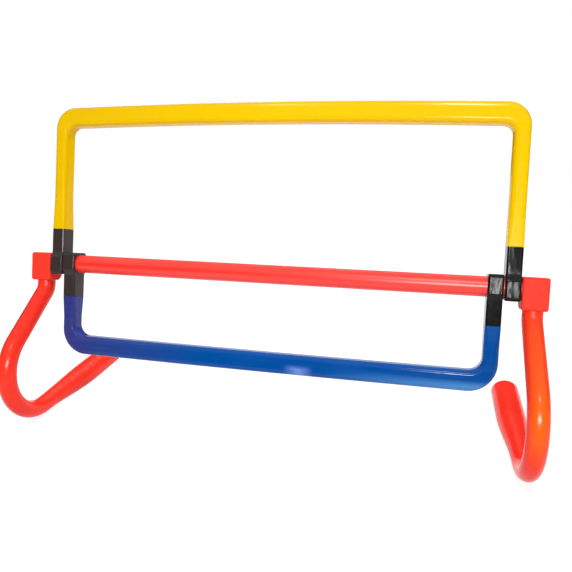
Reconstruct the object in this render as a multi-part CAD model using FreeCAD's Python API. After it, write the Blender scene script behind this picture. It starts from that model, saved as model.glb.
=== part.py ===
import FreeCAD
import Part
import math
import os

# Speed hurdle: a crossbar on two looped legs, with two flip frames that turn on the crossbar.
# Lengths are in millimetres and angles in degrees. X runs along the crossbar, Y away from the
# runner and Z up. The part stands on Z = 0, with the origin under the middle of its outline.

# Stance
bar_height = 149.0
lean_angle = 16.0
yellow_half_span = 214.0

# Crossbar and the plugs in its ends
bar_diameter = 17.5
bar_wall = 2.2
plug_length = 22.0

# Rounded rectangular tube that both flip frames are made of
tube_depth = 17.4
tube_wall = 2.0
tube_edge_round = 4.5
tube_end_round = 1.8
tube_end_chamfer = 0.6
arm_width = 13.0
rail_height = 18.1

# Yellow frame, from the crossbar's axis
yellow_reach = 144.0
yellow_outer_bend = 20.0
yellow_inner_bend = 8.5
yellow_stem_length = 34.0
yellow_end_length = 28.0
yellow_crown = 5.0

# Blue frame, from the crossbar's axis
blue_reach = 80.5
blue_outer_bend = 25.0
blue_inner_bend = 11.0
blue_stem_length = 32.3
blue_end_length = 20.0
blue_crown = 1.2

# Pivots: an eye round the crossbar, a stem, and a spigot inside the arm
pivot_thickness = 12.8
pivot_gap = 0.9
eye_depth = 22.2
eye_below_axis = 11.0
eye_corner_round = 3.0
shoulder_bottom = 6.0
shoulder_top = 11.0
pivot_edge_round = 1.6
spigot_length = 20.0
running_clearance = 0.08
fit_clearance = 0.1

# Friction ring in each eye
ring_width = 4.0
ring_thickness = 1.2
ring_clearance = 0.05

# Hubs
hub_width = 21.2
hub_depth = 21.5
hub_above_axis = 9.8
hub_below_axis = 17.9
hub_gap = 0.6
hub_corner_round = 2.5
hub_heel_round = 7.0
hub_edge_round = 2.0
hub_bar_socket = 14.0
hub_web = 1.2

# Legs
leg_diameter = 16.9
leg_wall = 2.2
leg_neck = 22.2
leg_upper_bend = 12.0
leg_slope_angle = 58.0
leg_lower_bend = 43.5
foot_width = 27.0
foot_oval_height = 25.6
foot_flat_depth = 7.3
foot_taper = 80.0
tail_reach = 94.0
tail_round = 6.0
taper_shares = (0, 0.25, 0.5, 0.75, 1)

# Screws: head radius and height, shank radius and length
hub_screw_head_radius = 3.6
hub_screw_head_height = 2.4
hub_screw_shank_radius = 1.7
hub_screw_length = 16.0
hub_screw_recess = 3.0
tube_screw_head_radius = 2.5
tube_screw_head_height = 1.8
tube_screw_shank_radius = 1.4
tube_screw_length = 9.0
screw_clearance = 0.15
driver_slot_width = 0.9
driver_slot_depth = 1.1
driver_slot_share = 0.6
head_round_share = 0.6

# Share of each half of a crowned rail that its apex blends over
crown_blend_share = 0.75

# One overrun serves all cuts, and a share of it tells points on a plane
overrun = 5.0
on_plane_share = 1e-6

# Worked out from the sizes above
bar_radius = bar_diameter / 2
leg_radius = leg_diameter / 2
blue_half_span = yellow_half_span - pivot_thickness - pivot_gap
hub_inner = yellow_half_span + pivot_thickness / 2 + hub_gap
hub_outer = hub_inner + hub_width
leg_x = hub_inner + hub_width / 2
bar_end = hub_inner + hub_bar_socket
leg_top = bar_radius + fit_clearance + hub_web
leg_screw_drop = (hub_below_axis + leg_neck) / 2
X_AXIS = FreeCAD.Vector(1, 0, 0)
Y_AXIS = FreeCAD.Vector(0, 1, 0)
Z_AXIS = FreeCAD.Vector(0, 0, 1)


def vector(x, y, z):
    return FreeCAD.Vector(x, y, z)


def cylinder(radius, length, start, direction):
    return Part.makeCylinder(radius, length, start, direction)


def heading(angle):
    """Downward direction in the leg's plane, turned forward by an angle from straight down."""
    turn = math.radians(angle)
    return vector(0, -math.sin(turn), -math.cos(turn))


def heading_turn(angle):
    """Side towards which the heading moves as its angle grows."""
    turn = math.radians(angle)
    return vector(0, -math.cos(turn), math.sin(turn))


def polygon_with_rounds(corners, rounds):
    """Closed wire through the corners, each with its own round, 0 for a sharp one."""
    edges = []
    count = len(corners)
    starts, ends, middles = [], [], []
    for index, (corner, radius) in enumerate(zip(corners, rounds)):
        back = (corners[index - 1] - corner).normalize()
        ahead = (corners[(index + 1) % count] - corner).normalize()
        half = back.getAngle(ahead) / 2
        setback = radius / math.tan(half)
        starts.append(corner + back * setback)
        ends.append(corner + ahead * setback)
        bisector = (back + ahead).normalize()
        middles.append(corner + bisector * (radius / math.sin(half) - radius))
    for index, radius in enumerate(rounds):
        if radius > 0:
            edges.append(Part.Arc(starts[index], middles[index], ends[index]).toShape())
        following = starts[(index + 1) % count]
        if (following - ends[index]).Length > 0:
            edges.append(Part.LineSegment(ends[index], following).toShape())
    return Part.Wire(edges)


def slab(corners, rounds, direction):
    return Part.Face(polygon_with_rounds(corners, rounds)).extrude(direction)


def lies_at(edge, axis, value):
    """Whether an edge lies whole in the plane across an axis at a value."""
    return all(abs(point[axis] - value) < overrun * on_plane_share for point in edge.discretize(3))


def rim_edges(shape, axis, values, open_end=None):
    """Edges in the planes across an axis, without those that also lie at the open end along Z."""
    found = []
    for edge in shape.Edges:
        at_rim = any(lies_at(edge, axis, value) for value in values)
        at_end = open_end is not None and lies_at(edge, 2, open_end)
        if at_rim and not at_end:
            found.append(edge)
    return found


def rail_line(half_span, middle, crown):
    """Height along a rail that rises by its crown from the arms to the middle."""
    return lambda x: middle + crown * (1 - abs(x) / half_span)


def tube_core(half_span, reach, bends, crown, start, inset):
    """U of a frame, upright, drawn in by an inset from the outside of its tube."""
    half_arm = arm_width / 2 - inset
    half_depth = tube_depth / 2 - inset
    out_x = half_span + half_arm
    in_x = half_span - half_arm
    top = rail_line(half_span, reach + rail_height / 2 - inset, crown)
    under = rail_line(half_span, reach - rail_height / 2 + inset, crown)
    outer = bends[0] - inset
    inner = bends[1] + inset
    apex_round = crown_blend_share * half_span**2 / crown
    outline = [(-out_x, start, 0), (-out_x, top(out_x), outer), (0, top(0), apex_round),
               (out_x, top(out_x), outer), (out_x, start, 0),
               (in_x, start, 0), (in_x, under(in_x), inner), (0, under(0), apex_round),
               (-in_x, under(in_x), inner), (-in_x, start, 0)]
    corners = [vector(x, -half_depth, z) for x, z, _ in outline]
    rounds = [radius for _, _, radius in outline]
    body = slab(corners, rounds, Y_AXIS * (2 * half_depth))
    return body.makeFillet(tube_edge_round - inset, rim_edges(body, 1, (-half_depth, half_depth), start))


def tube_screw_places(half_span, stem_length):
    height = stem_length + spigot_length / 2
    return [vector(side * half_span, 0, height) for side in (-1, 1)]


def arm_section(place, corner_round, inset):
    """Outline across an arm at a place on its middle line, drawn in by an inset."""
    half_x = arm_width / 2 - inset
    half_y = tube_depth / 2 - inset
    corners = [place + vector(x, y, 0) for x, y in
               ((-half_x, -half_y), (half_x, -half_y), (half_x, half_y), (-half_x, half_y))]
    return polygon_with_rounds(corners, [corner_round] * len(corners))


def arm_end(x, start, length):
    """Square-cornered end of an arm, chamfered at its lip, which eases into the round-cornered tube."""
    lip = arm_section(vector(x, 0, start), tube_end_round - tube_end_chamfer, tube_end_chamfer)
    square = arm_section(vector(x, 0, start + tube_end_chamfer), tube_end_round, 0)
    rounded = arm_section(vector(x, 0, start + length), tube_edge_round, 0)
    return Part.makeLoft([lip, square, rounded], True, True)


def flip_frame(half_span, reach, bends, crown, stem_length, end_length, back):
    """Hollow U frame, upright, with square-cornered ends and screw holes in the arms' backs."""
    outside = tube_core(half_span, reach, bends, crown, stem_length + end_length, 0)
    for side in (-1, 1):
        outside = outside.fuse(arm_end(side * half_span, stem_length, end_length))
    inside = tube_core(half_span, reach, bends, crown, stem_length - overrun, tube_wall)
    frame = outside.cut(inside)
    for place in tube_screw_places(half_span, stem_length):
        hole = tube_screw_shank_radius + screw_clearance
        frame = frame.cut(cylinder(hole, tube_depth, place, Y_AXIS * back))
    return frame


def spigot_block(start):
    """Rounded block that fills the arm's bore with a small clearance."""
    inset = tube_wall + fit_clearance
    outline = arm_section(vector(0, 0, start), tube_edge_round - inset, inset)
    return Part.Face(outline).extrude(Z_AXIS * spigot_length)


def pivot(stem_length, back):
    """Pivot fitting about the crossbar's axis, stem upright."""
    half_eye = eye_depth / 2
    half_stem = tube_depth / 2
    outline = [(-half_eye, -eye_below_axis), (half_eye, -eye_below_axis), (half_eye, shoulder_bottom),
               (half_stem, shoulder_top), (half_stem, stem_length), (-half_stem, stem_length),
               (-half_stem, shoulder_top), (-half_eye, shoulder_bottom)]
    rounds = [eye_corner_round, eye_corner_round, eye_corner_round, eye_corner_round,
              0, 0, eye_corner_round, eye_corner_round]
    half = pivot_thickness / 2
    corners = [vector(-half, y, z) for y, z in outline]
    body = slab(corners, rounds, X_AXIS * pivot_thickness)
    body = body.makeFillet(pivot_edge_round, rim_edges(body, 0, (-half, half), stem_length))
    body = body.fuse(spigot_block(stem_length))
    bore_start = vector(-half - overrun, 0, 0)
    bore = cylinder(bar_radius + running_clearance, pivot_thickness + 2 * overrun, bore_start, X_AXIS)
    groove_start = vector(-ring_width / 2, 0, 0)
    groove = cylinder(bar_radius + running_clearance + ring_thickness, ring_width, groove_start, X_AXIS)
    hole = tube_screw_shank_radius + screw_clearance / 2
    hole_start = vector(0, -back * tube_depth / 2, stem_length + spigot_length / 2)
    pilot = cylinder(hole, tube_depth, hole_start, Y_AXIS * back)
    return body.cut(bore).cut(groove).cut(pilot)


def friction_ring():
    start = vector(-ring_width / 2 + ring_clearance, 0, 0)
    width = ring_width - 2 * ring_clearance
    outer = bar_radius + running_clearance + ring_thickness - ring_clearance
    bore = cylinder(bar_radius + ring_clearance, width, start, X_AXIS)
    return cylinder(outer, width, start, X_AXIS).cut(bore)


def screw(head_radius, head_height, shank_radius, length):
    """Pan-head screw along +Z, with the underside of its head at Z = 0 and a cross recess."""
    head = cylinder(head_radius, head_height, vector(0, 0, 0), Z_AXIS)
    crown = [edge for edge in head.Edges if edge.isClosed() and edge.Vertexes[0].Z > head_height / 2]
    head = head.makeFillet(head_height * head_round_share, crown)
    body = head.fuse(cylinder(shank_radius, length, vector(0, 0, -length), Z_AXIS))
    reach = 2 * head_radius * driver_slot_share
    for width, depth in ((reach, driver_slot_width), (driver_slot_width, reach)):
        corner = vector(-width / 2, -depth / 2, head_height - driver_slot_depth)
        body = body.cut(Part.makeBox(width, depth, driver_slot_depth + overrun, corner))
    return body


def hub_screw():
    return screw(hub_screw_head_radius, hub_screw_head_height, hub_screw_shank_radius, hub_screw_length)


def tube_screw():
    return screw(tube_screw_head_radius, tube_screw_head_height, tube_screw_shank_radius, tube_screw_length)


def placed_screw(shape, place, direction):
    copy = shape.copy()
    copy.Placement = FreeCAD.Placement(place, FreeCAD.Rotation(Z_AXIS, direction))
    return copy


def hub():
    """Right hub, upright, about the crossbar's axis."""
    half = hub_depth / 2
    outline = [(-half, -hub_below_axis), (half, -hub_below_axis),
               (half, hub_above_axis), (-half, hub_above_axis)]
    rounds = [hub_corner_round, hub_heel_round, hub_corner_round, hub_corner_round]
    corners = [vector(hub_inner, y, z) for y, z in outline]
    body = slab(corners, rounds, X_AXIS * hub_width)
    body = body.makeFillet(hub_edge_round, rim_edges(body, 0, (hub_inner, hub_outer)))
    socket_start = vector(hub_inner - overrun, 0, 0)
    body = body.cut(cylinder(bar_radius + fit_clearance, hub_bar_socket + overrun, socket_start, X_AXIS))
    leg_socket = hub_below_axis - leg_top + overrun
    body = body.cut(cylinder(leg_radius + fit_clearance, leg_socket, vector(leg_x, 0, -leg_top), -Z_AXIS))
    spigot_radius = leg_radius - leg_wall - fit_clearance
    body = body.fuse(cylinder(spigot_radius, leg_neck - leg_top, vector(leg_x, 0, -leg_top), -Z_AXIS))
    shank = hub_screw_shank_radius + screw_clearance
    body = body.cut(cylinder(shank, hub_width, vector(hub_outer, 0, 0), -X_AXIS))
    recess = hub_screw_head_radius + screw_clearance
    body = body.cut(cylinder(recess, hub_screw_recess, vector(hub_outer, 0, 0), -X_AXIS))
    pilot = tube_screw_shank_radius + screw_clearance / 2
    pilot_start = vector(leg_x, leg_radius - tube_screw_length - screw_clearance, -leg_screw_drop)
    return body.cut(cylinder(pilot, leg_diameter, pilot_start, Y_AXIS))


def crossbar():
    start = vector(-bar_end, 0, 0)
    length = 2 * bar_end
    bore = cylinder(bar_radius - bar_wall, length, start, X_AXIS)
    return cylinder(bar_radius, length, start, X_AXIS).cut(bore)


def bar_plug():
    """Plug flush with the right end of the crossbar, with a pilot hole along it."""
    start = vector(bar_end, 0, 0)
    plug = cylinder(bar_radius - bar_wall - fit_clearance, plug_length, start, -X_AXIS)
    return plug.cut(cylinder(hub_screw_shank_radius + screw_clearance / 2, plug_length, start, -X_AXIS))


def leg_line():
    """Ends of the neck and of the sloping run on the leg's centre line, and the centres of its two bends."""
    slope = math.radians(leg_slope_angle)
    lean = math.radians(lean_angle)
    neck_drop = leg_neck * math.cos(lean) + leg_upper_bend * (math.sin(slope) - math.sin(lean))
    bend_drop = leg_lower_bend * (1 + math.sin(slope))
    run = (bar_height - leg_radius - neck_drop - bend_drop) / math.cos(slope)
    neck = heading(lean_angle) * leg_neck
    upper_centre = neck + heading_turn(lean_angle) * leg_upper_bend
    run_start = upper_centre - heading_turn(leg_slope_angle) * leg_upper_bend
    run_end = run_start + heading(leg_slope_angle) * run
    lower_centre = run_end - heading_turn(leg_slope_angle) * leg_lower_bend
    return neck, upper_centre, run_start, run_end, lower_centre


def leg_tube(radius, top):
    """Round part of the leg, from its top to the end of the lower bend."""
    neck, upper_centre, run_start, run_end, lower_centre = leg_line()
    head = heading(lean_angle) * top
    upper_middle = upper_centre - heading_turn((lean_angle + leg_slope_angle) / 2) * leg_upper_bend
    lower_middle = lower_centre + heading_turn(0) * leg_lower_bend
    foot_start = lower_centre - Z_AXIS * leg_lower_bend
    path = Part.Wire([Part.LineSegment(head, neck).toShape(),
                      Part.Arc(neck, upper_middle, run_start).toShape(),
                      Part.LineSegment(run_start, run_end).toShape(),
                      Part.Arc(run_end, lower_middle, foot_start).toShape()])
    ring = Part.Wire(Part.Circle(head, heading(lean_angle), radius).toShape())
    return path.makePipeShell([ring], True, False)


def foot_oval(share, y, inset):
    """Section of the foot across Y: round at share 0, the full oval at share 1."""
    half_width = leg_radius + (foot_width / 2 - leg_radius) * share - inset
    half_height = leg_radius + (foot_oval_height / 2 - leg_radius) * share - inset
    rise = (foot_oval_height / 2 - foot_flat_depth - leg_radius) * share
    longer = max(half_width, half_height)
    shorter = min(half_width, half_height)
    oval = Part.Wire(Part.Ellipse(vector(0, 0, 0), longer, shorter).toShape())
    if foot_oval_height > foot_width:
        oval.rotate(vector(0, 0, 0), Z_AXIS, 90)
    oval.rotate(vector(0, 0, 0), X_AXIS, 90)
    oval.translate(vector(0, y, leg_radius - bar_height + rise))
    return oval


def foot(inset):
    """Foot from the lower bend back to the tail, with a flat sole, drawn in by an inset."""
    start = leg_line()[4].y
    sections = []
    for share in taper_shares:
        eased = share * share * (3 - 2 * share)
        sections.append(foot_oval(eased, start + foot_taper * share, inset))
    taper = Part.makeLoft(sections, True, False)
    straight = tail_reach - inset - start - foot_taper
    tail = Part.Face(sections[-1]).extrude(Y_AXIS * straight)
    rim_round = tail_round - inset
    if rim_round > 0:
        tail = tail.makeFillet(rim_round, rim_edges(tail, 1, (tail_reach - inset,)))
    sole = vector(-foot_width, start, inset - bar_height - foot_oval_height)
    return taper.fuse(tail).cut(Part.makeBox(2 * foot_width, tail_reach - start, foot_oval_height, sole))


def leg():
    """Leg in the middle plane: hollow, open at its top and closed at its tail."""
    outside = leg_tube(leg_radius, leg_top).fuse(foot(0))
    inside = leg_tube(leg_radius - leg_wall, leg_top - overrun).fuse(foot(leg_wall))
    place = heading(lean_angle) * leg_screw_drop
    hole = tube_screw_shank_radius + screw_clearance
    return outside.cut(inside).cut(cylinder(hole, leg_diameter, place, -heading_turn(lean_angle)))


def leaned(shape):
    """Turn a piece drawn upright about the crossbar's axis to the lean of the frames."""
    copy = shape.copy()
    copy.rotate(vector(0, 0, 0), X_AXIS, -lean_angle)
    return copy


def flipped(shape):
    """Turn a piece drawn standing up to hang down from the crossbar."""
    copy = shape.copy()
    copy.rotate(vector(0, 0, 0), X_AXIS, 180)
    return copy


def shifted(shape, x):
    copy = shape.copy()
    copy.translate(X_AXIS * x)
    return copy


def frame_pieces(colour, half_span, stem_length, frame, back, place):
    """Nodes of one flip frame: the tube and, on each side, the pivot, its ring and its screw."""
    pieces = {colour + "_frame": place(frame)}
    fitting = pivot(stem_length, back)
    for side, sign in (("left", -1), ("right", 1)):
        pieces[side + "_" + colour + "_pivot"] = place(shifted(fitting, sign * half_span))
        pieces[side + "_" + colour + "_friction_ring"] = place(shifted(friction_ring(), sign * half_span))
        head = vector(sign * half_span, back * tube_depth / 2, stem_length + spigot_length / 2)
        pieces[side + "_" + colour + "_screw"] = place(placed_screw(tube_screw(), head, Y_AXIS * back))
    return pieces


def base_pieces():
    """Nodes that stand still: the crossbar and, on each side, its plug, hub, leg and screws."""
    hub_screw_place = vector(hub_outer - hub_screw_recess, 0, 0)
    leg_screw_place = vector(leg_x, leg_radius, -leg_screw_drop)
    right = {"bar_plug": bar_plug(),
             "hub": leaned(hub()),
             "hub_screw": placed_screw(hub_screw(), hub_screw_place, X_AXIS),
             "leg": shifted(leg(), leg_x),
             "leg_screw": leaned(placed_screw(tube_screw(), leg_screw_place, Y_AXIS))}
    pieces = {"crossbar": crossbar()}
    for name, shape in right.items():
        pieces["right_" + name] = shape
        pieces["left_" + name] = shape.mirror(vector(0, 0, 0), X_AXIS)
    return pieces


def main():
    yellow_bends = (yellow_outer_bend, yellow_inner_bend)
    blue_bends = (blue_outer_bend, blue_inner_bend)
    yellow = flip_frame(yellow_half_span, yellow_reach, yellow_bends, yellow_crown, yellow_stem_length,
                        yellow_end_length, 1)
    blue = flip_frame(blue_half_span, blue_reach, blue_bends, blue_crown, blue_stem_length,
                      blue_end_length, -1)
    pieces = base_pieces()
    pieces.update(frame_pieces("yellow", yellow_half_span, yellow_stem_length, yellow, 1, leaned))
    hang = lambda shape: leaned(flipped(shape))
    pieces.update(frame_pieces("blue", blue_half_span, blue_stem_length, blue, -1, hang))
    front = leg_line()[4].y - leg_lower_bend - leg_radius
    middle = (front + tail_reach) / 2
    os.makedirs("parts", exist_ok=True)
    for name, shape in pieces.items():
        shape.translate(vector(0, -middle, bar_height))
        shape.exportStep("parts/" + name + ".step")
        print(name, len(shape.Solids), shape.isValid(), round(shape.Volume), shape.BoundBox)


main()
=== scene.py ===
# %% [markdown]
# # A speed hurdle, dressed in Blender
# The hurdle is a red crossbar on two looped red legs. A yellow frame stands up from the bar, a
# blue frame hangs below it, and both swing round the bar on black pivots. The solids of all the
# pieces come from the CAD source, in metres and already in place. They could be modelled again
# here, but their shapes are right. So this lesson leaves every mesh as it is, and adds what a
# solid model lacks: a camera, a white room with lamps, and a finish for each kind of piece.

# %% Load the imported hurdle
import bpy
import math
from mathutils import Matrix, Vector

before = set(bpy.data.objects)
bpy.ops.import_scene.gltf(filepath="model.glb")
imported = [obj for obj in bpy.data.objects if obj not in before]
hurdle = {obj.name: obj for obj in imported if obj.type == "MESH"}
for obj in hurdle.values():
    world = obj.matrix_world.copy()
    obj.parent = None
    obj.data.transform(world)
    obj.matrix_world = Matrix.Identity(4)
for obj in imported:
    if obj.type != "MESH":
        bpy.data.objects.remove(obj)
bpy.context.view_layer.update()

# %% [markdown]
# ## The camera
# The picture was taken from close by, a little right of the middle and above the hurdle. So the
# right leg looks large, and the left one runs out of the frame. A camera can be aimed with a
# Track To constraint, but then its roll and its lens have to be guessed. Here its place and its
# three turns are given as numbers: it is rolled, tipped down and turned to the left. Its lens
# follows from how many pixels one metre covers at one metre's distance.

# %% Set up the camera
IMAGE_SIDE = 572
PIXELS_PER_METRE = 572.15
SENSOR_WIDTH = 36.0
CAMERA_PLACE = (0.14226, -0.48723, 0.30560)
YAW, PITCH, ROLL = 14.244, -18.411, 1.153
# A new camera looks straight down, so it is first raised to look ahead.
RAISED = 90


def turn(degrees, axis):
    return Matrix.Rotation(math.radians(degrees), 4, axis)


camera_data = bpy.data.cameras.new("photo_camera")
camera_data.sensor_width = SENSOR_WIDTH
camera_data.lens = SENSOR_WIDTH * PIXELS_PER_METRE / IMAGE_SIDE
camera = bpy.data.objects.new("photo_camera", camera_data)
camera.matrix_world = (Matrix.Translation(CAMERA_PLACE) @ turn(YAW, "Z") @ turn(PITCH, "X")
                       @ turn(ROLL, "Y") @ turn(RAISED, "X"))
bpy.context.scene.collection.objects.link(camera)
bpy.context.scene.camera = camera
bpy.context.scene.view_settings.view_transform = "Standard"
print("lens in mm:", round(camera_data.lens, 2))

# %% [markdown]
# ## Helpers for shader nodes
# Each finish below is a small graph of nodes. The nodes could be placed by hand in the shader
# editor, but then the hurdle couldn't be built again from this file. In a script the same few
# moves come back all the time, so short helpers do them: start a finish, fill a socket with a
# number or a link, add a node, stretch a range of numbers, and calculate.

# %% Start finishes and add nodes
def new_finish(name):
    material = bpy.data.materials.new(name)
    material.use_nodes = True
    material.node_tree.nodes.clear()
    return material, material.node_tree


def feed(tree, socket, value):
    if isinstance(value, bpy.types.NodeSocket):
        tree.links.new(value, socket)
    else:
        socket.default_value = value


def add_node(tree, kind, settings=None, **sockets):
    made = tree.nodes.new(kind)
    for name, value in (settings or {}).items():
        setattr(made, name, value)
    for name, value in sockets.items():
        feed(tree, made.inputs[name.replace("_", " ")], value)
    return made


print("node helpers ready")

# %% Stretch ranges and calculate
FADE_IN = (0.0, 1.0)


def remap(tree, value, old, new=FADE_IN):
    stretched = add_node(tree, "ShaderNodeMapRange", Value=value)
    names = ("From Min", "From Max", "To Min", "To Max")
    for name, number in zip(names, (*old, *new)):
        stretched.inputs[name].default_value = number
    return stretched.outputs[0]


def calculate(tree, operation, *values):
    worked_out = add_node(tree, "ShaderNodeMath", {"operation": operation})
    for socket, value in zip(worked_out.inputs, values):
        feed(tree, socket, value)
    return worked_out.outputs[0]


print("number helpers ready")

# %% [markdown]
# ## The floor
# A product picture like this one has a white sweep of paper under and behind the object. The
# paper could be a curved sheet, but a flat floor that fades into a white room gives the same
# picture from every side. Where the camera or a shiny piece looks at it, the floor adds a glow
# to what the lamps give it, so it reads as white and keeps only a faint shadow. For the light
# that it throws back on the hurdle it is plain grey paper, so the colours don't wash out.

# %% Tell a look from a bounce of light
def seen_directly(tree):
    path = add_node(tree, "ShaderNodeLightPath").outputs
    either = calculate(tree, "MAXIMUM", path["Is Camera Ray"], path["Is Glossy Ray"])
    return calculate(tree, "MAXIMUM", either, path["Is Transmission Ray"])


def mix_shaders(tree, share, first, second):
    mixed = add_node(tree, "ShaderNodeMixShader", Fac=share)
    feed(tree, mixed.inputs[1], first.outputs[0])
    feed(tree, mixed.inputs[2], second.outputs[0])
    return mixed


print("floor helpers ready")

# %% Mix the floor's surface
WHITE = (1, 1, 1, 1)
PAPER_GREY = (0.62, 0.62, 0.62, 1)
SHADOW_GREY = (0.30, 0.30, 0.30, 1)
FLOOR_GLOW = 0.79
# The shadow fades between these distances from the middle of the hurdle.
FADE_DISTANCES = (0.35, 0.95)
white_floor, tree = new_finish("white_floor")
bounce = add_node(tree, "ShaderNodeBsdfDiffuse", Color=PAPER_GREY)
shadow = add_node(tree, "ShaderNodeBsdfDiffuse", Color=SHADOW_GREY)
glow = add_node(tree, "ShaderNodeEmission", Color=WHITE, Strength=FLOOR_GLOW)
near = add_node(tree, "ShaderNodeAddShader")
feed(tree, near.inputs[0], shadow.outputs[0])
feed(tree, near.inputs[1], glow.outputs[0])
far = add_node(tree, "ShaderNodeEmission", Color=WHITE, Strength=1.0)
distance = add_node(tree, "ShaderNodeVectorMath", {"operation": "LENGTH"})
feed(tree, distance.inputs[0], add_node(tree, "ShaderNodeTexCoord").outputs["Object"])
seen = mix_shaders(tree, remap(tree, distance.outputs["Value"], FADE_DISTANCES), near, far)
surface = mix_shaders(tree, seen_directly(tree), bounce, seen)
add_node(tree, "ShaderNodeOutputMaterial", Surface=surface.outputs[0])
print("floor nodes:", len(tree.nodes))

# %% Lay the floor
def flat_sheet(name, corners, material):
    mesh = bpy.data.meshes.new(name)
    mesh.from_pydata(corners, [], [range(len(corners))])
    mesh.materials.append(material)
    sheet = bpy.data.objects.new(name, mesh)
    bpy.context.scene.collection.objects.link(sheet)
    return sheet


REACH = 12.0
floor = flat_sheet("floor", [(-REACH, -REACH, 0), (REACH, -REACH, 0), (REACH, REACH, 0),
                             (-REACH, REACH, 0)], white_floor)
print(floor.name, "side in m:", 2 * REACH)

# %% [markdown]
# ## The room
# A studio is full of light that comes back from its walls and its ceiling. They could be built
# as meshes, but Blender's world gives the same light from all sides with a single strength. What
# is seen of the room is pure white. The light that it sends is much weaker, because the lamps
# below do most of the work.

# %% Fill the room with soft light
ROOM_LIGHT = 0.36
room = bpy.data.worlds.new("white_room")
room.use_nodes = True
tree = room.node_tree
tree.nodes.clear()
soft = add_node(tree, "ShaderNodeBackground", Color=WHITE, Strength=ROOM_LIGHT)
white = add_node(tree, "ShaderNodeBackground", Color=WHITE, Strength=1.0)
surface = mix_shaders(tree, seen_directly(tree), soft, white)
add_node(tree, "ShaderNodeOutputWorld", Surface=surface.outputs[0])
bpy.context.scene.world = room
print("room light:", ROOM_LIGHT)

# %% [markdown]
# ## Lamps that light and shine
# Three soft lamps light the hurdle from the front and are also mirrored in it: one behind the
# camera, a tiny card beside that one, and one up at the ceiling. They could be one large window,
# but small lamps leave small glints, and those are what tells the eye that plastic is glossy.

# %% Hang the front lamps
def soft_lamp(name, place, target, size, watts, lights=True, mirrored=True):
    lamp = bpy.data.lights.new(name, "AREA")
    lamp.shape = "RECTANGLE"
    lamp.size, lamp.size_y = size
    lamp.energy = watts
    holder = bpy.data.objects.new(name, lamp)
    holder.location = place
    aim = Vector(target) - Vector(place)
    holder.rotation_euler = aim.to_track_quat("-Z", "Y").to_euler()
    holder.visible_camera = False
    holder.visible_diffuse = lights
    holder.visible_glossy = mirrored
    bpy.context.scene.collection.objects.link(holder)
    return holder


front_lamps = [
    soft_lamp("camera_lamp", (0.22, -0.82, 0.44), (-0.05, 0.0, 0.12), (0.08, 0.12), 3.6),
    soft_lamp("side_card", (0.315, -0.82, 0.36), (0.2, 0.0, 0.15), (0.045, 0.035), 0.22),
    soft_lamp("ceiling_lamp", (0.22, -0.78, 1.31), (0.1, 0.0, 0.15), (0.2, 0.2), 4.3)]
print("front lamps:", [lamp.name for lamp in front_lamps])

# %% [markdown]
# ## Lamps that only light
# Three wider lamps fill in the shade, from the right, from the front left and from behind. That
# could be left to the light of the room, but it comes from all sides and shapes nothing. Mirrored
# in the rails these lamps would draw bright lines that the picture doesn't have, so they are left
# out of reflections.

# %% Hang the fill lamps
fill_lamps = [
    soft_lamp("right_lamp", (1.55, -0.25, 0.75), (-0.1, 0.0, 0.12), (0.4, 0.3), 6.5,
              mirrored=False),
    soft_lamp("window_lamp", (-0.80, -0.85, 0.80), (-0.2, 0.0, 0.06), (0.4, 0.2), 4.6,
              mirrored=False),
    soft_lamp("back_lamp", (0.0, 1.15, 1.05), (0.0, 0.05, 0.0), (0.9, 0.4), 24.0,
              mirrored=False)]
print("fill lamps:", [lamp.name for lamp in fill_lamps])

# %% [markdown]
# ## Lamps that only shine
# The picture has wide white glints on the bends of the legs, on the edges of the left pivots
# and along the top of the yellow rail. Lamps that wide would burn out the colours, so these
# three are only mirrored and give no other light. Light linking keeps each of them to the
# pieces that show its glint. White spots could be painted in the finish instead, but they would
# stay in place when the hurdle or the camera turns, and real glints don't.

# %% Add the glints
def mirrored_only_by(nodes, name):
    group = bpy.data.collections.new(name)
    for node in nodes:
        group.objects.link(hurdle[node])
    return group


GLINTING = ("left_leg", "right_leg", "left_yellow_pivot", "left_blue_pivot")
glint_card = soft_lamp("glint_card", (0.23, -0.82, 0.43), (0.1, 0.0, 0.08), (0.6, 0.1), 9.0,
                       lights=False)
glint_card.light_linking.receiver_collection = mirrored_only_by(GLINTING, "glinting_pieces")
# Each strip hangs above and in front of the yellow rail: its name, its X, its width, its power.
STRIPS = (("right_strip", 0.231, 0.11, 11.7), ("left_strip", -0.252, 0.06, 4.86))
STRIP_LENGTH = 0.6
yellow_only = mirrored_only_by(["yellow_frame"], "striped_pieces")
for name, across, width, watts in STRIPS:
    strip = soft_lamp(name, (across, -0.55, 1.16), (across, 0.04, 0.29), (width, STRIP_LENGTH),
                      watts, lights=False)
    strip.light_linking.receiver_collection = yellow_only
print("glints on:", [*GLINTING, "yellow_frame"])

# %% [markdown]
# ## Dark cards
# Glossy plastic mirrors whatever stands round it, and in an all-white room its edges would wash
# out. A darker world would help, but it would grey the background too. So a ring of dark cards
# stands round the hurdle, hidden from the camera, as a photographer puts up black cards: the
# edges and the flat faces mirror those, and their colours stay deep.

# %% Stand up the dark cards
CARDS, CARD_DISTANCE, CARD_HEIGHT = 12, 1.9, 1.35
CARD_BLACK = (0.02, 0.02, 0.02, 1)
dark_card, tree = new_finish("dark_card")
matt_black = add_node(tree, "ShaderNodeBsdfDiffuse", Color=CARD_BLACK)
add_node(tree, "ShaderNodeOutputMaterial", Surface=matt_black.outputs[0])
for number in range(CARDS):
    angles = [math.tau * (number + side) / CARDS for side in (0, 1)]
    first, second = [(CARD_DISTANCE * math.cos(angle), CARD_DISTANCE * math.sin(angle))
                     for angle in angles]
    corners = [(*first, 0), (*second, 0), (*second, CARD_HEIGHT), (*first, CARD_HEIGHT)]
    card = flat_sheet(f"dark_card_{number}", corners, dark_card)
    card.visible_camera = False
print("dark cards:", CARDS)

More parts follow.
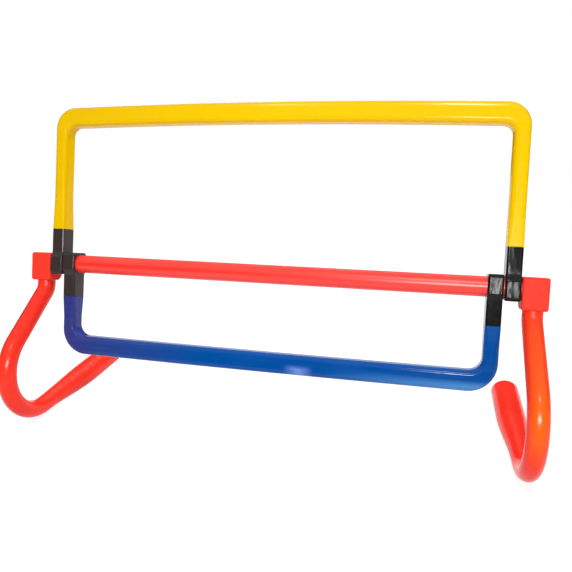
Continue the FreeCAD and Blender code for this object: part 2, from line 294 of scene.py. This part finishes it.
# %% [markdown]
# ## Moulded plastic, layer by layer
# Every coloured piece is moulded or extruded in plastic. One flat colour would look like a
# drawing, and a painted image would have to be unwrapped onto each piece. So the finish is built
# in layers: a slow drift of tone where the melt cooled unevenly, fine lines along the flow, thin
# scuffs from use, paler edges where hands and grass have rubbed, and a grain that only the gloss
# shows. Most layers are noise, read from the piece's own coordinates, so they turn with it.

# %% Noise and mixed colours
EVENLY = (1, 1, 1)
# The Mix node has sockets for numbers, vectors and colours in one row. Colours use these places.
SHARE, FIRST_COLOUR, SECOND_COLOUR, MIXED_COLOUR = 0, 6, 7, 2


def stretched_noise(tree, scale, stretch=EVENLY, detail=3.0, rough=0.5):
    place = add_node(tree, "ShaderNodeTexCoord").outputs["Object"]
    mapped = add_node(tree, "ShaderNodeMapping", Vector=place, Scale=stretch)
    noise = add_node(tree, "ShaderNodeTexNoise", Vector=mapped.outputs[0], Scale=scale,
                     Detail=detail, Roughness=rough)
    return noise.outputs["Fac"]


def mix_colours(tree, share, first, second):
    mixed = add_node(tree, "ShaderNodeMix", {"data_type": "RGBA"})
    feed(tree, mixed.inputs[SHARE], share)
    feed(tree, mixed.inputs[FIRST_COLOUR], first)
    feed(tree, mixed.inputs[SECOND_COLOUR], second)
    return mixed.outputs[MIXED_COLOUR]


print("noise and colour helpers ready")

# %% [markdown]
# ### Scuffs and rubbed edges
# A training aid is knocked over and stacked, so it has thin scuffs and paler edges. Scuffs could
# be drawn one by one, but a noise that is stretched from front to back gives thin lines, and a
# second, slow noise keeps them to a few patches. An edge is found by comparing the surface's own
# direction with a rounded one from the Bevel node: where the two disagree, there is an edge.

# %% Find scuffs and edges
SCUFF_SCALE, SCUFF_LINES = 420.0, (0.66, 0.74)
PATCH_SCALE, SCUFFED_PATCHES = 26.0, (0.52, 0.66)
EDGE_WIDTH, EDGE_AGREEMENT = 0.0012, (0.97, 0.80)


def thin_scuffs(tree, flow):
    # The smaller the number, the longer the noise: longest from front to back, then upwards.
    front_to_back = (flow[1], 0.2 * flow[0] + 0.05, 0.4)
    streaks = stretched_noise(tree, SCUFF_SCALE, front_to_back, detail=2.0, rough=0.6)
    patches = remap(tree, stretched_noise(tree, PATCH_SCALE), SCUFFED_PATCHES)
    return calculate(tree, "MULTIPLY", remap(tree, streaks, SCUFF_LINES), patches)


def agreement(tree, first, second):
    compared = add_node(tree, "ShaderNodeVectorMath", {"operation": "DOT_PRODUCT"})
    feed(tree, compared.inputs[0], first)
    feed(tree, compared.inputs[1], second)
    return compared.outputs["Value"]


def rubbed_edges(tree):
    rounded = add_node(tree, "ShaderNodeBevel", {"samples": 6}, Radius=EDGE_WIDTH).outputs[0]
    facing = add_node(tree, "ShaderNodeNewGeometry").outputs["Normal"]
    return remap(tree, agreement(tree, rounded, facing), EDGE_AGREEMENT)


print("scuffs at scale", SCUFF_SCALE, "and edges", 1000 * EDGE_WIDTH, "mm wide")

# %% [markdown]
# ### Colour, gloss and skin
# The layers come together in three small graphs. The colour starts from two close tones of the
# plastic, takes the tones of single patches, and then the paler tone of lines, scuffs and edges.
# The gloss wanders a little along the flow and is duller in a scuff. The skin has a fine grain
# and, on moulded pieces, sinks, where the plastic shrank as it set. Grain and sinks could be
# modelled, but they are fractions of a millimetre deep, so they are bumps in the shading.

# %% Layer the colour
DRIFT_SCALE, DRIFT_RANGE, DRIFT_SHARE = 9.0, (0.35, 0.7), (0.0, 0.35)
FLOW_SCALE, FLOW_LINES, FLOW_SHARE = 260.0, (0.45, 0.75), (0.0, 0.07)
SCUFF_SHARE = (0.0, 0.12)
EDGE_SHARE = (0.0, 0.22)


def layered_colour(tree, colour, deep, pale, flow, scuffs, patches):
    drift = remap(tree, stretched_noise(tree, DRIFT_SCALE), DRIFT_RANGE, DRIFT_SHARE)
    body = mix_colours(tree, drift, colour, deep)
    # Some patches are painted shade, reflections or highlights; each finish below says which.
    for where, tone in patches:
        body = mix_colours(tree, where(tree), body, tone)
    lines = stretched_noise(tree, FLOW_SCALE, flow, detail=2.0)
    body = mix_colours(tree, remap(tree, lines, FLOW_LINES, FLOW_SHARE), body, pale)
    body = mix_colours(tree, remap(tree, scuffs, FADE_IN, SCUFF_SHARE), body, pale)
    edges = remap(tree, rubbed_edges(tree), FADE_IN, EDGE_SHARE)
    return mix_colours(tree, edges, body, pale)


print("drift of tone at scale", DRIFT_SCALE, "and flow lines at scale", FLOW_SCALE)

# %% Shape the gloss and the skin
GLOSS_SCALE, GLOSS_RANGE = 60.0, (0.3, 0.75)
SMOOTHER, ROUGHER, SCUFF_ROUGHNESS = 0.03, 0.05, 0.18
GRAIN_SCALE, GRAIN_STRENGTH, GRAIN_DEPTH = 2600.0, 0.06, 0.00005
SINK_DEPTH = 0.0004


def uneven_gloss(tree, roughness, flow, scuffs):
    spread = (roughness - SMOOTHER, roughness + ROUGHER)
    clouds = stretched_noise(tree, GLOSS_SCALE, flow, detail=4.0)
    dull = remap(tree, clouds, GLOSS_RANGE, spread)
    return calculate(tree, "MULTIPLY_ADD", scuffs, SCUFF_ROUGHNESS, dull)


def moulded_skin(tree, flow, sinks):
    grain = add_node(tree, "ShaderNodeBump", Strength=GRAIN_STRENGTH, Distance=GRAIN_DEPTH,
                     Height=stretched_noise(tree, GRAIN_SCALE, detail=2.0))
    if sinks:
        scale, strength = sinks
        sunk = add_node(tree, "ShaderNodeBump", Strength=strength, Distance=SINK_DEPTH,
                        Height=stretched_noise(tree, scale, flow, detail=1.0))
        feed(tree, grain.inputs["Normal"], sunk.outputs[0])
    return grain.outputs[0]


print("grain in mm:", 1000 * GRAIN_DEPTH, "sinks in mm:", 1000 * SINK_DEPTH)

# %% Put the plastic together
PLASTIC_IOR = 1.48
FAINT_SINKS = (70.0, 0.05)


def moulded_plastic(name, colour, deep, pale, roughness, mirror, flow=EVENLY, sinks=FAINT_SINKS,
                    patches=()):
    material, tree = new_finish(name)
    scuffs = thin_scuffs(tree, flow)
    body = layered_colour(tree, colour, deep, pale, flow, scuffs, patches)
    plastic = add_node(tree, "ShaderNodeBsdfPrincipled", Base_Color=body,
                       Roughness=uneven_gloss(tree, roughness, flow, scuffs),
                       Normal=moulded_skin(tree, flow, sinks), IOR=PLASTIC_IOR,
                       Specular_IOR_Level=mirror)
    add_node(tree, "ShaderNodeOutputMaterial", Surface=plastic.outputs[0])
    print(name, "has", len(tree.nodes), "nodes")
    return material


print("plastic ready to use")

# %% [markdown]
# ## Yellow frame
# The upper frame is a bright yellow tube with a clear gloss, and its fine lines run along the
# rail. Towards its left end it is painted a little duller, as painted shade where the lamps'
# light falls off. A shade over the whole picture could do that, but it wouldn't turn with the
# frame. So the painted shade is mixed in by the piece's own X.

# %% Make the yellow plastic
ALONG_X = (0.06, 1, 1)
LEFT_PAINT_SPAN = (-0.2, 0.02)
LEFT_PAINT_SHARE = (0.9, 0.0)


def own_place(tree):
    place = add_node(tree, "ShaderNodeTexCoord").outputs["Object"]
    return add_node(tree, "ShaderNodeSeparateXYZ", Vector=place).outputs


# Painted shade on the yellow frame and a painted reflection on the black pivots, both by X.
def painted_left_shade_and_reflection(tree):
    return remap(tree, own_place(tree)["X"], LEFT_PAINT_SPAN, LEFT_PAINT_SHARE)


yellow_plastic = moulded_plastic(
    "yellow_plastic", colour=(0.86, 0.535, 0.0005, 1), deep=(0.82, 0.49, 0.0005, 1),
    pale=(0.95, 0.70, 0.02, 1), roughness=0.19, mirror=0.11, flow=ALONG_X,
    patches=[(painted_left_shade_and_reflection, (0.76, 0.47, 0.0005, 1))])

# %% [markdown]
# ## Crossbar and hubs
# The crossbar is an extruded red tube: a straight pull through a die leaves lines along it but
# no sinks. Its skin is satin, so the lamps leave broad pale bands on it, and it mirrors more
# than the other pieces. The hubs are moulded blocks in a duller red. Both could share one red,
# but then the bar would lose its bands or the hubs would get some.

# %% Make the crossbar's and the hubs' plastic
bar_plastic = moulded_plastic(
    "bar_plastic", colour=(0.95, 0.033, 0.021, 1), deep=(0.90, 0.024, 0.016, 1),
    pale=(0.98, 0.17, 0.13, 1), roughness=0.33, mirror=0.70, flow=ALONG_X, sinks=None)
hub_plastic = moulded_plastic(
    "hub_plastic", colour=(0.95, 0.043, 0.024, 1), deep=(0.90, 0.034, 0.020, 1),
    pale=(0.98, 0.16, 0.12, 1), roughness=0.42, mirror=0.08)

# %% [markdown]
# ## Legs
# The legs are bent red tubes, glossier than the hubs. The front of the right leg's bend is
# painted orange: a painted highlight, where strong light turns the red towards orange. That could
# be a second material on part of the mesh, but its border would be hard. So five soft limits are
# multiplied: the surface faces up and forward, lies towards the front, is off the floor, isn't
# too high, and lies towards the right.

# %% Make the legs' plastic
UP_AND_FORWARD = (0.0, -0.8, 0.6)


def product(tree, first, *others):
    result = first
    for value in others:
        result = calculate(tree, "MULTIPLY", result, value)
    return result


# Painted highlight: orange where the bend faces the lamps, mostly on the right leg.
def painted_glare_on_bend(tree):
    place = own_place(tree)
    normal = add_node(tree, "ShaderNodeTexCoord").outputs["Normal"]
    facing = remap(tree, agreement(tree, normal, UP_AND_FORWARD), (0.35, 0.95), (0.0, 0.9))
    ahead = remap(tree, place["Y"], (0.0, -0.03), (0.2, 1.0))
    off_the_floor = remap(tree, place["Z"], (0.018, 0.060))
    not_too_high = remap(tree, place["Z"], (0.075, 0.130), (1.0, 0.35))
    to_the_right = remap(tree, place["X"], (-0.2, 0.2), (0.05, 1.0))
    return product(tree, facing, ahead, off_the_floor, not_too_high, to_the_right)


leg_plastic = moulded_plastic(
    "leg_plastic", colour=(0.95, 0.034, 0.018, 1), deep=(0.90, 0.026, 0.014, 1),
    pale=(0.98, 0.16, 0.09, 1), roughness=0.22, mirror=0.18, sinks=None,
    patches=[(painted_glare_on_bend, (0.97, 0.13, 0.002, 1))])

# %% [markdown]
# ## Blue frame
# The lower frame is a glossy blue tube. Its left corner is painted darker and more violet, as
# painted shade. Towards the right, the lower edge of its rail is painted paler, as a painted
# reflection of the white floor, and one spot near the middle is a painted reflection too. They
# could be left to the gloss, but here they are mixed into the colour. The frame hangs at a slant,
# so the border of the lower edge is tilted by the same angle.

# %% Find the painted shade and reflections of the blue rail
LEAN = math.tan(math.radians(16))
LEFT_CORNER_SHADE_SPAN = (-0.2, -0.06)
EDGE_HEIGHTS = (0.0655, 0.0605)
FLOOR_REFLECTION_STRETCH = (0.06, 0.17)
SPOT_START, SPOT_END = (0.022, 0.034), (0.038, 0.050)
STREAK_SCALE = 30.0
SPOT_BREAKUP_SCALE, SPOT_BREAKUP_STRETCH = 220.0, (0.3, 1, 1)


# Painted shade: darker and more violet towards the left corner.
def painted_left_corner_shade(tree):
    return remap(tree, own_place(tree)["X"], LEFT_CORNER_SHADE_SPAN, LEFT_PAINT_SHARE)


def lower_edge(tree):
    place = own_place(tree)
    height = calculate(tree, "MULTIPLY_ADD", place["Y"], LEAN, place["Z"])
    return remap(tree, height, EDGE_HEIGHTS), place["X"]


# Painted reflection of the white floor: a paler band along the lower edge, towards the right.
def painted_floor_reflection_edge(tree):
    edge, along = lower_edge(tree)
    reflected = remap(tree, along, FLOOR_REFLECTION_STRETCH)
    streaks = stretched_noise(tree, STREAK_SCALE, ALONG_X, detail=2.0)
    return product(tree, edge, reflected, remap(tree, streaks, (0.35, 0.6), (0.3, 1.0)))


# Painted reflection: one pale spot on the lower edge near the middle, broken up by noise.
def painted_reflection_spot(tree):
    edge, along = lower_edge(tree)
    start = remap(tree, along, SPOT_START)
    end = remap(tree, along, SPOT_END, (0.8, 0.0))
    breakup = stretched_noise(tree, SPOT_BREAKUP_SCALE, SPOT_BREAKUP_STRETCH, detail=2.0)
    return product(tree, edge, start, end, remap(tree, breakup, (0.3, 0.6), (0.5, 1.0)))


# Where the painted floor reflection and the painted reflection spot start along X.
print("rubbed from X", FLOOR_REFLECTION_STRETCH[0], "m, scraped from X", SPOT_START[0], "m")

# %% Make the blue plastic
# Its patches are painted shade at the left corner and painted reflections on the lower edge.
blue_plastic = moulded_plastic(
    "blue_plastic", colour=(0.0005, 0.070, 0.315, 1), deep=(0.001, 0.058, 0.26, 1),
    pale=(0.10, 0.24, 0.58, 1), roughness=0.15, mirror=0.16, flow=ALONG_X,
    patches=[(painted_left_corner_shade, (0.034, 0.036, 0.20, 1)), (painted_floor_reflection_edge, (0.10, 0.32, 0.70, 1)),
             (painted_reflection_spot, (0.21, 0.34, 0.82, 1))])

# %% [markdown]
# ## Black pivots
# The pivots, and the plugs inside the bar, are thick black mouldings with a high gloss, and thick
# plastic sinks most as it sets. The faces could be left flat, but a flat black face mirrors one
# even grey. Strong sinks break the mirrored light up into pale, wavy patches, as in the picture.
# On the left the pivots are painted a lighter, browner tone: a painted reflection of the brighter
# room on that side. It fades by X, as the painted shade on the yellow frame does.

# %% Make the black plastic
UPRIGHT = (1, 1, 0.3)
STRONG_SINKS = (150.0, 0.6)
# Its patch by X is a painted reflection on the left pivots.
black_plastic = moulded_plastic(
    "black_plastic", colour=(0.008, 0.008, 0.008, 1), deep=(0.005, 0.005, 0.006, 1),
    pale=(0.07, 0.07, 0.075, 1), roughness=0.10, mirror=0.17, flow=UPRIGHT, sinks=STRONG_SINKS,
    patches=[(painted_left_shade_and_reflection, (0.044, 0.032, 0.030, 1))])

# %% [markdown]
# ## Rubber rings
# The friction rings inside the pivots are a dull dark rubber. A plain black would do, because
# they hardly show, but a cut or an opened pivot would then look unfinished. So the rubber gets
# two tones and fine pores.

# %% Make the rubber
DARK_RUBBER = (0.02, 0.02, 0.02, 1)
PALE_RUBBER = (0.05, 0.05, 0.05, 1)
RUBBER_TONE_SCALE = 300.0
PORE_SCALE = 4000.0
ring_rubber, tree = new_finish("ring_rubber")
tone = mix_colours(tree, stretched_noise(tree, RUBBER_TONE_SCALE), DARK_RUBBER, PALE_RUBBER)
pitted = add_node(tree, "ShaderNodeBump", Strength=0.4, Distance=0.0001,
                  Height=stretched_noise(tree, PORE_SCALE))
rubber = add_node(tree, "ShaderNodeBsdfPrincipled", Base_Color=tone, Roughness=0.8,
                  Normal=pitted.outputs[0])
add_node(tree, "ShaderNodeOutputMaterial", Surface=rubber.outputs[0])
print("rubber nodes:", len(tree.nodes))

# %% [markdown]
# ## Steel screws
# The screws are zinc-plated steel. They could be a plain mirror, but plating is a little cloudy
# and dimpled, so the tone, the roughness and a bump each follow a fine noise.

# %% Make the steel
BLUISH_ZINC = (0.52, 0.53, 0.55, 1)
PALE_ZINC = (0.68, 0.68, 0.66, 1)
ZINC_TONE_SCALE = 900.0
CLOUD_SCALE, CLOUD_RANGE, CLOUD_ROUGHNESS = 1500.0, (0.3, 0.7), (0.22, 0.42)
DIMPLE_SCALE = 3500.0
screw_steel, tree = new_finish("screw_steel")
tone = mix_colours(tree, stretched_noise(tree, ZINC_TONE_SCALE), BLUISH_ZINC, PALE_ZINC)
cloud = remap(tree, stretched_noise(tree, CLOUD_SCALE), CLOUD_RANGE, CLOUD_ROUGHNESS)
dimpled = add_node(tree, "ShaderNodeBump", Strength=0.3, Distance=0.00005,
                   Height=stretched_noise(tree, DIMPLE_SCALE))
steel = add_node(tree, "ShaderNodeBsdfPrincipled", Base_Color=tone, Roughness=cloud,
                 Normal=dimpled.outputs[0], Metallic=1.0)
add_node(tree, "ShaderNodeOutputMaterial", Surface=steel.outputs[0])
print("steel nodes:", len(tree.nodes))

# %% [markdown]
# ## Dressing the hurdle
# Each piece now takes its finish. That could be a list with a line for each piece, but the names
# of the pieces already say what they are. So the first word of this short list that a name
# contains decides, and screws and rings come before the pieces that they sit in.

# %% Give every piece its finish
FINISHES = [("screw", screw_steel), ("ring", ring_rubber), ("pivot", black_plastic),
            ("plug", black_plastic), ("leg", leg_plastic), ("hub", hub_plastic),
            ("yellow", yellow_plastic), ("blue", blue_plastic), ("crossbar", bar_plastic)]
dressed = {}
for node, piece in hurdle.items():
    finish = next(material for word, material in FINISHES if word in node)
    piece.data.materials.clear()
    piece.data.materials.append(finish)
    dressed[finish.name] = dressed.get(finish.name, 0) + 1
print("pieces in each finish:", dressed)
